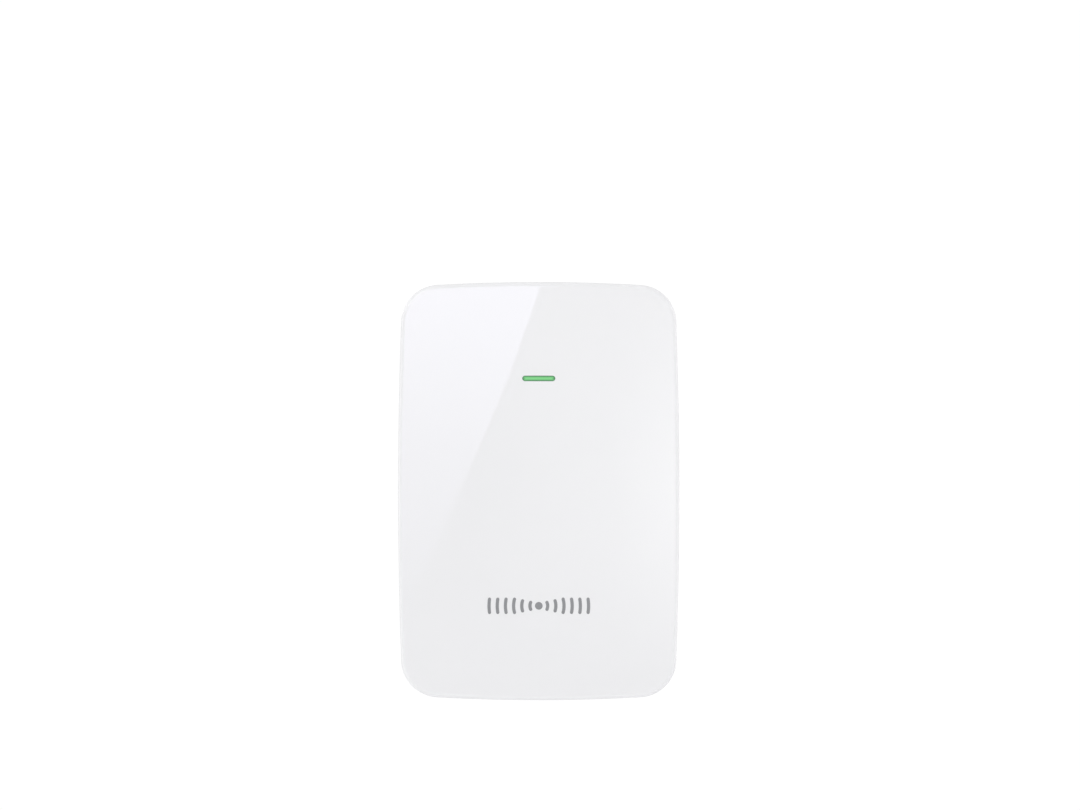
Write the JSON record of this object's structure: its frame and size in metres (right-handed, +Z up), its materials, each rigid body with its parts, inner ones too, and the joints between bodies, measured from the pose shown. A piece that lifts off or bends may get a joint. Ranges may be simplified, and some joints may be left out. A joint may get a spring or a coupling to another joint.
{
  "type": "wifi range extender",
  "caption": "Flat rounded white wireless range extender that plugs straight into a wall outlet, with a green status bar, a side pairing button and a network socket underneath.",
  "frame": {"origin": "midpoint between the two mains blades, on the flat back plane that rests against the outlet", "axes": "+Z up when plugged in, +Y into the wall along the blades, +X to the right seen from the room"},
  "size_m": [0.0698, 0.046, 0.1038],
  "materials": {
    "front_gloss": "high gloss white",
    "back_matte": "fine matte white texture",
    "label_film": "satin film",
    "screw_steel": "zinc plated",
    "light_green": "diffusing, lit green",
    "black_foam": "closed-cell foam",
    "led_resin": "clear over phosphor",
    "plug_plastic": "satin",
    "blade_nickel": "nickel plated brass",
    "button_plastic": "satin pale grey",
    "switch_black": "moulded",
    "plunger_plastic": "moulded red",
    "power_laminate": "single-sided laminate",
    "radio_laminate": "green solder mask",
    "insulator_film": "translucent film",
    "chip_epoxy": "moulded epoxy",
    "optocoupler_epoxy": "moulded epoxy",
    "fuse_brown": "moulded",
    "varistor_coating": "dipped epoxy",
    "y_capacitor_coating": "dipped epoxy",
    "capacitor_sleeve": "shrunk sleeve",
    "choke_sleeve": "shrunk sleeve",
    "ferrite": "sintered ferrite",
    "bobbin_plastic": "moulded phenolic",
    "winding_tape": "polyester tape",
    "header_plastic": "moulded",
    "contact_gold": "gold flash",
    "can_metal": "tinned steel",
    "pad_silicone": "soft silicone",
    "sink_aluminium": "extruded",
    "ceramic_tan": "ceramic",
    "socket_plastic": "moulded",
    "coax_jacket": "extruded jacket"
  },
  "bodies": {
    "unit": {"antenna_cables": "coax_jacket", "back_cover": "back_matte", "board_capacitors": "ceramic_tan", "board_inductors": "ferrite", "bridge_rectifier": "chip_epoxy", "bulk_capacitors": "capacitor_sleeve", "case_screws": "screw_steel", "chip_pads": "pad_silicone", "coax_plugs": "contact_gold", "crystal": "can_metal", "dc_link_header": "header_plastic", "dc_link_pins": "contact_gold", "ethernet_magnetics": "chip_epoxy", "filter_choke": "choke_sleeve", "flash_chip": "chip_epoxy", "front_cover": "front_gloss", "fuse": "fuse_brown", "heat_sink": "sink_aluminium", "insulating_sheet": "insulator_film", "left_antenna": "radio_laminate", "light_gasket": "black_foam", "line_blade": "blade_nickel", "main_board": "radio_laminate", "memory_chip": "chip_epoxy", "neutral_blade": "blade_nickel", "optocoupler": "optocoupler_epoxy", "output_capacitors": "capacitor_sleeve", "output_inductor": "choke_sleeve", "output_rectifier": "chip_epoxy", "pairing_switch": "switch_black", "plug_base": "plug_plastic", "power_board": "power_laminate", "power_board_screws": "screw_steel", "power_controller": "chip_epoxy", "processor": "chip_epoxy", "radio_chip": "chip_epoxy", "rating_label": "label_film", "regulators": "chip_epoxy", "reset_switch": "switch_black", "right_antenna": "radio_laminate", "shield_can": "can_metal", "sink_pad": "pad_silicone", "socket_contacts": "contact_gold", "socket_housing": "socket_plastic", "socket_shell": "can_metal", "status_led": "led_resin", "status_light_pipe": "light_green", "transformer_bobbin": "bobbin_plastic", "transformer_core": "ferrite", "transformer_winding": "winding_tape", "varistor": "varistor_coating", "y_capacitor": "y_capacitor_coating"},
    "pairing_button": {"pairing_button": "button_plastic", "pairing_plunger": "plunger_plastic"},
    "reset_plunger": {"reset_plunger": "plunger_plastic"}
  },
  "joints": [
    {"name": "pairing_press", "type": "slide", "parent": "unit", "child": "pairing_button", "axis": [-1, 0, 0], "range_m": [0, 0.0004], "stiffness_N_per_m": 2500},
    {"name": "reset_press", "type": "slide", "parent": "unit", "child": "reset_plunger", "axis": [-1, 0, 0], "range_m": [0, 0.0003], "stiffness_N_per_m": 2500}
  ]
}
